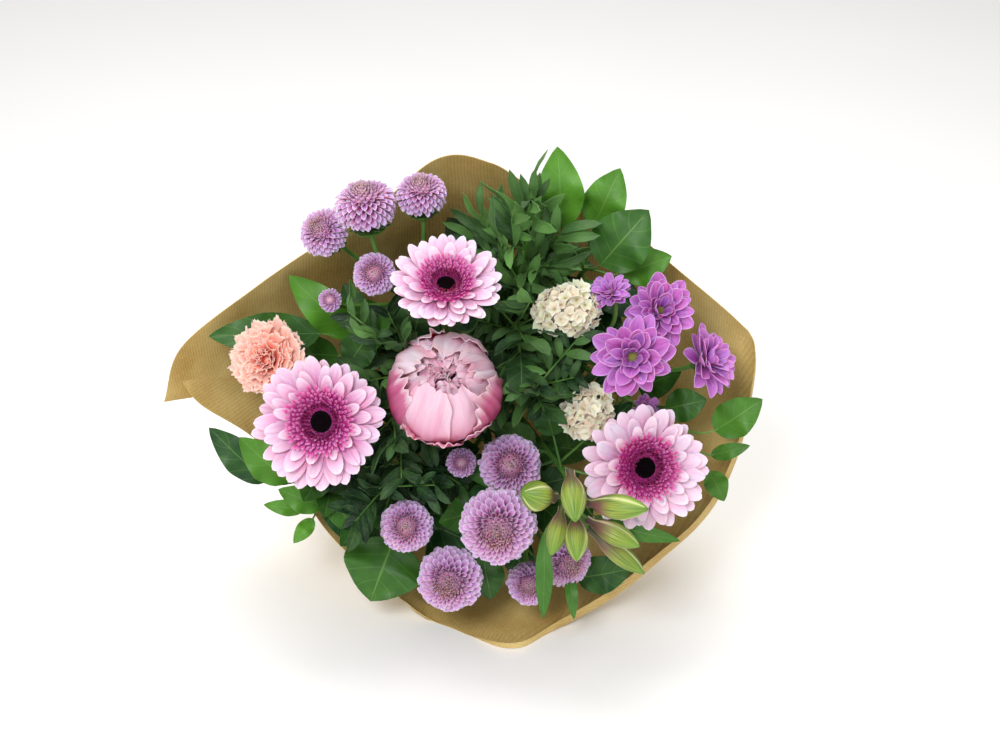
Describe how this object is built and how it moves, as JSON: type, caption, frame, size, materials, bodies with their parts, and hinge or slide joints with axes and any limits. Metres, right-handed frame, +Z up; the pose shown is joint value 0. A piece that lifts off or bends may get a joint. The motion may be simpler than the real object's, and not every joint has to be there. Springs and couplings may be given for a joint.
{
  "type": "mixed flower bouquet",
  "caption": "Hand-tied mixed bouquet of gerberas, peony, carnation, pompons and foliage in a cone of kraft paper, lying on its side.",
  "frame": {"origin": "on the surface that the bouquet lies on, below the middle of its outline box", "axes": "+Z up from the surface; the blooms face -Y and a little up, the cut stems point to +Y; +X is to the right as seen from the front of the blooms"},
  "size_m": [0.4172, 0.473, 0.3479],
  "materials": {
    "kraft_paper": "ribbed, matt with a faint sheen",
    "twine": "rough",
    "raffia": "dry",
    "stem": "smooth, fresh green",
    "blush_petal": "soft satin",
    "gerbera_eye": "velvety",
    "peony_petal": "soft satin",
    "peach_petal": "soft matt",
    "lilac_petal": "soft satin",
    "magenta_petal": "soft satin",
    "statice_floret": "papery",
    "alstroemeria_bud": "waxy",
    "broad_leaf": "leathery gloss",
    "leaflet": "satin"
  },
  "bodies": {
    "root": {"kraft_wrap": "kraft_paper", "binding_twine": "twine", "wrap_tie": "raffia", "gerbera_top_stem": "stem", "gerbera_top_petals": "blush_petal", "gerbera_top_eye": "gerbera_eye", "gerbera_left_stem": "stem", "gerbera_left_petals": "blush_petal", "gerbera_left_eye": "gerbera_eye", "gerbera_right_stem": "stem", "gerbera_right_petals": "blush_petal", "gerbera_right_eye": "gerbera_eye", "peony_stem": "stem", "peony_petals": "peony_petal", "carnation_stem": "stem", "carnation_petals": "peach_petal", "lilac_top_stem": "stem", "lilac_top_head_1": "lilac_petal", "lilac_top_head_2": "lilac_petal", "lilac_top_head_3": "lilac_petal", "lilac_top_head_4": "lilac_petal", "lilac_top_head_5": "lilac_petal", "lilac_middle_stem": "stem", "lilac_middle_head_1": "lilac_petal", "lilac_middle_head_2": "lilac_petal", "lilac_middle_head_3": "lilac_petal", "lilac_left_stem": "stem", "lilac_left_head_1": "lilac_petal", "lilac_left_head_2": "lilac_petal", "lilac_right_stem": "stem", "lilac_right_head_1": "lilac_petal", "lilac_right_head_2": "lilac_petal", "magenta_stem": "stem", "magenta_head_1": "magenta_petal", "magenta_head_2": "magenta_petal", "magenta_head_3": "magenta_petal", "magenta_head_4": "magenta_petal", "magenta_head_5": "magenta_petal", "statice_stem": "stem", "statice_head_1": "statice_floret", "statice_head_2": "statice_floret", "alstroemeria": "alstroemeria_bud", "salal_top": "broad_leaf", "salal_right": "broad_leaf", "salal_left": "broad_leaf", "salal_low_left": "broad_leaf", "salal_low": "broad_leaf", "salal_bottom": "broad_leaf", "pistacia_top": "leaflet", "pistacia_upper": "leaflet", "pistacia_middle": "leaflet", "pistacia_left": "leaflet", "pistacia_low_left": "leaflet", "pistacia_low": "leaflet"}
  },
  "joints": []
}
